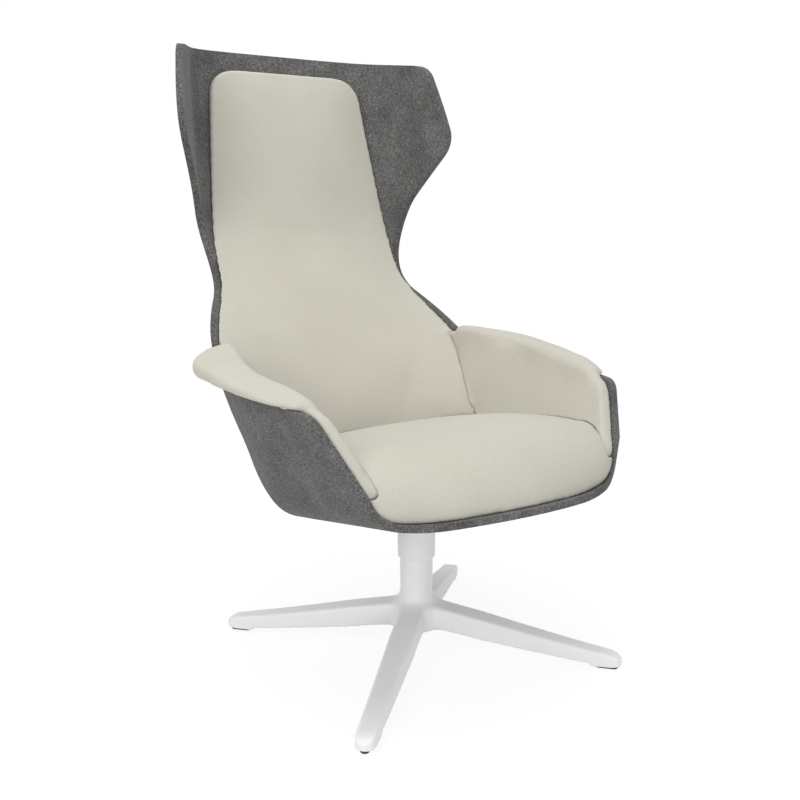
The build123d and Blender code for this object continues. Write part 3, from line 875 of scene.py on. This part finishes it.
@dataclass
class SeamShadeCords:
    """Dark cords that lie in the grooves between the pads: painted shade of the seams."""

    radius: float = 0.0009
    sides: int = 6
    count: int = 60
    sink: float = 0.0006
    halvings: int = 14
    widest: float = 0.012
    fewest: int = 5

    def groove(
        self, eye: Point, start: Point, end: Point, trees: tuple[BVHTree, BVHTree]
    ) -> np.ndarray | None:
        """Find where the view from a point passes from one pad to the next.

        Args:
            eye: The point looked from.
            start: A direction that meets the first pad.
            end: A direction that meets the second pad.
            trees: The two pads.

        Returns:
            The groove's place, or None where the pads don't meet.
        """
        origin, low, high = Vector(eye), Vector(start), Vector(end)
        edges = (0.0, 1.0)
        for _ in range(self.halvings):
            share = sum(edges) / 2
            ray = low.slerp(high, share)
            hits = [tree.ray_cast(origin, ray) for tree in trees]
            reach = [hit[3] if hit[3] is not None else math.inf for hit in hits]
            if math.isinf(min(reach)):
                return None
            edges = (share, edges[1]) if reach[0] <= reach[1] else (edges[0], share)
        ray = low.slerp(high, sum(edges) / 2)
        spots = [
            tree.ray_cast(origin, low.slerp(high, share))[0] for tree, share in zip(trees, edges)
        ]
        if None in spots or (spots[0] - spots[1]).length > self.widest:
            return None
        return np.array((spots[0] + spots[1]) / 2 + ray * self.sink)

    def paths(self, pads: dict[str, BVHTree]) -> list[np.ndarray]:
        """Follow every groove between the pads.

        Args:
            pads: Search trees over the finished pads.

        Returns:
            One array of points for each seam.
        """
        down, back = (0.0, 0.0, -1.0), (0.0, 1.0, 0.0)
        seat, rest = pads["seat_cushion"], pads["back_cushion"]
        widths = np.linspace(-0.2, 0.2, self.count)
        rows = [[self.groove((x, -0.04, 0.52), down, back, (seat, rest)) for x in widths]]
        for side, name in ((-1.0, "arm_pad_left"), (1.0, "arm_pad_right")):
            out, arm = (side, 0.0, 0.0), pads[name]
            heights = np.linspace(0.40, 0.57, self.count)
            rows.append([self.groove((0.0, 0.0, z), back, out, (rest, arm)) for z in heights])
            depths = np.linspace(-0.26, 0.12, self.count)
            rows.append([self.groove((0.0, y, 0.50), down, out, (seat, arm)) for y in depths])
        found = [np.array([spot for spot in row if spot is not None]) for row in rows]
        return [path for path in found if len(path) > self.fewest]

    def tree(self, shade_cord: bpy.types.Material) -> bpy.types.NodeTree:
        """Build the node group that lays a round dark cord, painted seam shade, along edges.

        Args:
            shade_cord: The material of the dark cord that paints the seams' shade.

        Returns:
            The node group.
        """
        group = bpy.data.node_groups.new("seam_thread", "GeometryNodeTree")
        group.interface.new_socket("Path", in_out="INPUT", socket_type="NodeSocketGeometry")
        group.interface.new_socket("Thread radius", in_out="INPUT", socket_type="NodeSocketFloat")
        group.interface.new_socket("Sides", in_out="INPUT", socket_type="NodeSocketInt")
        group.interface.new_socket("Thread", in_out="OUTPUT", socket_type="NodeSocketGeometry")
        kinds = ("NodeGroupInput", "GeometryNodeMeshToCurve", "GeometryNodeCurvePrimitiveCircle")
        given, curve, round_profile = (group.nodes.new(kind) for kind in kinds)
        sweep = group.nodes.new("GeometryNodeCurveToMesh")
        sweep.inputs["Fill Caps"].default_value = True
        real = group.nodes.new("GeometryNodeRealizeInstances")
        dye = group.nodes.new("GeometryNodeSetMaterial")
        dye.inputs["Material"].default_value = shade_cord
        end = group.nodes.new("NodeGroupOutput")
        for source, target in (
            (given.outputs["Path"], curve.inputs["Mesh"]),
            (given.outputs["Thread radius"], round_profile.inputs["Radius"]),
            (given.outputs["Sides"], round_profile.inputs["Resolution"]),
            (curve.outputs["Curve"], sweep.inputs["Curve"]),
            (round_profile.outputs["Curve"], sweep.inputs["Profile Curve"]),
            (sweep.outputs["Mesh"], real.inputs["Geometry"]),
            (real.outputs["Geometry"], dye.inputs["Geometry"]),
            (dye.outputs["Geometry"], end.inputs["Thread"]),
        ):
            group.links.new(source, target)
        return group

    def build(self, pads: list[Pad], finishes: Finishes) -> bpy.types.Object:
        """Lay the dark cords in their grooves, as painted shade of the seams.

        Args:
            pads: The finished pads.
            finishes: The chair's materials.

        Returns:
            The cords, as one piece.
        """
        trees = {}
        for pad in pads:
            mesh = pad.piece.data
            faces = [tuple(face.vertices) for face in mesh.polygons]
            trees[pad.node] = BVHTree.FromPolygons(points_of(mesh).tolist(), faces)
        points: list[list[float]] = []
        edges: list[tuple[int, int]] = []
        for path in self.paths(trees):
            first = len(points)
            points += path.tolist()
            edges += [(index, index + 1) for index in range(first, len(points) - 1)]
        line = bpy.data.meshes.new("seam_path")
        line.from_pydata(points, edges, [])
        path_piece = add_piece("seam_path", line)
        lay = path_piece.modifiers.new("lay", "NODES")
        lay.node_group = self.tree(finishes.made["seam_thread"])
        sizes = {"Thread radius": self.radius, "Sides": self.sides}
        for item in lay.node_group.interface.items_tree:
            if item.name in sizes:
                lay[item.identifier] = sizes[item.name]
        mesh = settled(path_piece)
        bpy.data.objects.remove(path_piece)
        smooth_shaded(mesh)
        piece = add_piece("seam_threads", mesh)
        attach(piece, Body.SEAT.value)
        return piece


@dataclass
class Studio:
    """The camera, the lamps and the pale floor."""

    eye: Point = (-0.89403, -1.38878, 0.79890)
    turn: float = -31.725
    pitch: float = 11.16878
    lens: float = 42.512
    sensor: float = 36.0
    floor_radius: float = 4.0
    fade_start: float = 0.7
    fade_end: float = 1.6
    room_level: float = 0.62
    floor_tone: float = 0.80
    shadow_tone: float = 0.16
    floor_glow: float = 0.88

    def camera(self) -> None:
        """Stand the camera where the photograph was taken."""
        data = bpy.data.cameras.new("camera")
        data.lens, data.sensor_width = self.lens, self.sensor
        camera = bpy.data.objects.new("camera", data)
        bpy.context.scene.collection.objects.link(camera)
        turn, pitch = math.radians(self.turn), math.radians(self.pitch)
        forward = Vector(
            (-math.sin(turn) * math.cos(pitch), math.cos(turn) * math.cos(pitch), -math.sin(pitch))
        )
        right = Vector((math.cos(turn), math.sin(turn), 0.0))
        up = right.cross(forward)
        facing = Matrix((right, up, -forward)).transposed().to_4x4()
        camera.matrix_world = Matrix.Translation(self.eye) @ facing
        bpy.context.scene.camera = camera

    def lamp(self, name: str, place: Point, aim: Point, size: float, power: float) -> None:
        """Hang a square soft lamp.

        Args:
            name: The lamp's name.
            place: Where it hangs.
            aim: The point it faces.
            size: The length of its side.
            power: Its power in watts.
        """
        data = bpy.data.lights.new(name, "AREA")
        data.size, data.energy = size, power
        lamp = bpy.data.objects.new(name, data)
        lamp.location = place
        lamp.rotation_euler = (Vector(aim) - Vector(place)).to_track_quat("-Z", "Y").to_euler()
        bpy.context.scene.collection.objects.link(lamp)

    @staticmethod
    def seen(recipe: Recipe, path: bpy.types.Node) -> Value:
        """Give 1 for the rays that show the room, from the camera, in gloss or through glass."""
        camera, glossy, through = (
            recipe.out(path, f"Is {kind} Ray") for kind in ("Camera", "Glossy", "Transmission")
        )
        return camera + glossy + through

    def sky(self, level: float) -> None:
        """Surround the scene with a pale room that the camera sees as white.

        Args:
            level: How strongly the room lights the chair.
        """
        recipe = Recipe(bpy.data.worlds.new("room"))
        white = (*grey(1.0), 1.0)
        room = recipe.node("ShaderNodeBackground", {}, {"Color": white, "Strength": level})
        blank = recipe.node("ShaderNodeBackground", {}, {"Color": white, "Strength": 1.0})
        path = recipe.node("ShaderNodeLightPath")
        eye = self.seen(recipe, path)
        blend = recipe.node(
            "ShaderNodeMixShader", {}, {0: eye, 1: recipe.out(room), 2: recipe.out(blank)}
        )
        bpy.context.scene.world = recipe.close(blend)

    def floor(self) -> bpy.types.Object:
        """Lay a pale floor that keeps the chair's soft shadow and fades to white far out.

        Returns:
            The floor.
        """
        build = bmesh.new()
        bmesh.ops.create_circle(build, cap_ends=True, segments=96, radius=self.floor_radius)
        mesh = bpy.data.meshes.new("floor")
        build.to_mesh(mesh)
        build.free()
        floor = add_piece("floor", mesh)
        recipe = Recipe.paint("pale_floor")
        matte, shaded = (
            recipe.node("ShaderNodeBsdfDiffuse", {}, {"Color": (*grey(tone), 1.0)})
            for tone in (self.floor_tone, self.shadow_tone)
        )
        glow, white = (
            recipe.node("ShaderNodeEmission", {}, {"Color": (*grey(1.0), 1.0), "Strength": strength})
            for strength in (self.floor_glow, 1.0)
        )
        soft = recipe.node("ShaderNodeAddShader", {}, {0: recipe.out(shaded), 1: recipe.out(glow)})
        reach = recipe.out(
            recipe.node("ShaderNodeVectorMath", {"operation": "LENGTH"}, {0: recipe.place()}), "Value"
        )
        far = {"Value": reach, "From Min": self.fade_start, "From Max": self.fade_end}
        fade = recipe.out(recipe.node("ShaderNodeMapRange", {}, far))
        seen = recipe.node(
            "ShaderNodeMixShader", {}, {0: fade, 1: recipe.out(soft), 2: recipe.out(white)}
        )
        path = recipe.node("ShaderNodeLightPath")
        eye = self.seen(recipe, path)
        both = recipe.node(
            "ShaderNodeMixShader", {}, {0: eye, 1: recipe.out(matte), 2: recipe.out(seen)}
        )
        mesh.materials.append(recipe.close(both))
        return floor

    def build(self) -> None:
        """Set up the whole studio."""
        self.camera()
        self.sky(self.room_level)
        self.lamp("key", (-2.6, -1.1, 2.2), (0.0, 0.0, 0.5), 2.0, 30.0)
        self.lamp("top", (0.0, 0.2, 3.2), (0.0, 0.0, 0.5), 2.0, 38.0)
        self.lamp("low", (-0.9, -2.8, 0.4), (0.0, 0.0, 0.15), 1.4, 19.0)
        self.floor()
        bpy.context.scene.view_settings.view_transform = "Standard"


def main() -> None:
    """Build the chair's pieces in order."""
    logging.basicConfig(level=logging.INFO, format="%(name)s: %(message)s")
    Studio().build()
    finishes = Finishes.mix()
    finishes.dress("grey_felt", "felt_shell")
    finishes.dress("white_paint", "star_base", "swivel_collar")
    glides = [f"glide_{end}_{side}" for end in ("front", "back") for side in ("left", "right")]
    finishes.dress("black_plastic", *glides)
    finishes.dress("dark_steel", "seat_plate")
    finishes.dress(
        "bearing_steel", "glide_screws", "spindle", "spindle_screws", "lower_race", "upper_race",
        "bearing_balls", "retaining_washer", "retaining_ring", "bolt_washers", "plate_bolts", "t_nuts",
    )
    finishes.dress("bush_plastic", "ball_cage", "lower_bush", "upper_bush")
    finishes.dress("plywood", "seat_board", "back_board", "arm_board_left", "arm_board_right")
    upholstery = Upholstery()
    pieces = [StarBase().build(finishes), *upholstery.build(finishes), upholstery.shade_seams(finishes)]
    for piece in pieces:
        log.info("%s: %d faces", piece.name, len(piece.data.polygons))


if __name__ == "__main__":
    main()
